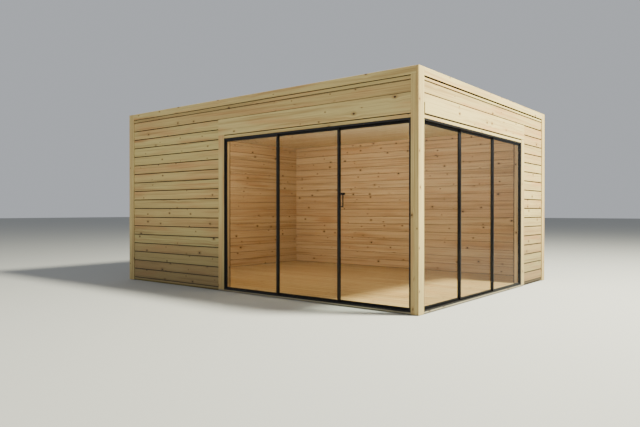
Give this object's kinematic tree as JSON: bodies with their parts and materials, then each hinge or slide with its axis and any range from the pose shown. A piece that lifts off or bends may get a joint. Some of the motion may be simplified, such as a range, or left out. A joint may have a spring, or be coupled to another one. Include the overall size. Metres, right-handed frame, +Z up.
{
  "type": "garden office pod",
  "caption": "Flat-roofed timber garden office pod, clad in horizontal boards, with black-framed sliding glass screens that meet at a corner post.",
  "frame": {"origin": "on the ground at the middle of the footprint's box", "axes": "+Z up; the long glazed front faces -Y and the short glazed side faces +X, so the glazed corner is at +X, -Y"},
  "size_m": [4.98, 3.87, 2.5],
  "materials": {
    "pine_cladding": "planed pine boards, matt",
    "pine_trim": "planed pine, matt",
    "bearer_timber": "treated timber, rough",
    "floor_boards": "timber floor boards, satin",
    "roof_timber": "roof boards on joists",
    "lining_boards": "lining boards, matt",
    "roof_membrane": "dark roofing membrane",
    "black_frame": "black powder-coated aluminium",
    "clear_glass": "clear toughened glass",
    "black_handle": "black, satin"
  },
  "bodies": {
    "building": {"base_frame": "bearer_timber", "floor_deck": "floor_boards", "front_sill": "pine_trim", "side_sill": "pine_trim", "front_wall": "pine_cladding", "side_wall": "pine_cladding", "back_wall": "pine_cladding", "left_wall": "pine_cladding", "front_lintel": "pine_cladding", "side_lintel": "pine_cladding", "corner_post": "pine_trim", "front_header": "pine_trim", "side_header": "pine_trim", "front_head_strip": "pine_trim", "side_head_strip": "pine_trim", "front_jamb_trim": "pine_trim", "side_jamb_trim": "pine_trim", "corner_trim_near": "pine_trim", "corner_trim_front_left": "pine_trim", "corner_trim_back_left": "pine_trim", "corner_trim_back_right": "pine_trim", "front_fascia": "pine_trim", "side_fascia": "pine_trim", "back_fascia": "pine_trim", "left_fascia": "pine_trim", "roof_deck": "roof_timber", "roof_membrane": "roof_membrane", "ceiling_lining": "lining_boards", "front_sill_track": "black_frame", "side_sill_track": "black_frame", "front_track_frame": "black_frame", "side_track_frame": "black_frame", "front_leaf_fixed": "black_frame", "side_leaf_fixed": "black_frame", "front_glass_fixed": "clear_glass", "side_glass_fixed": "clear_glass"},
    "front_corner_door": {"front_leaf_corner": "black_frame", "front_glass_corner": "clear_glass", "front_handle": "black_handle"},
    "front_middle_door": {"front_leaf_middle": "black_frame", "front_glass_middle": "clear_glass"},
    "side_corner_door": {"side_leaf_corner": "black_frame", "side_glass_corner": "clear_glass"},
    "side_middle_door": {"side_leaf_middle": "black_frame", "side_glass_middle": "clear_glass"}
  },
  "joints": [
    {"name": "front_corner_slide", "type": "slide", "parent": "building", "child": "front_corner_door", "axis": [-1, 0, 0], "range_m": [0, 1.8]},
    {"name": "front_middle_slide", "type": "slide", "parent": "building", "child": "front_middle_door", "axis": [-1, 0, 0], "range_m": [0, 0.9]},
    {"name": "side_corner_slide", "type": "slide", "parent": "building", "child": "side_corner_door", "axis": [0, 1, 0], "range_m": [0, 1.8]},
    {"name": "side_middle_slide", "type": "slide", "parent": "building", "child": "side_middle_door", "axis": [0, 1, 0], "range_m": [0, 0.9]}
  ]
}
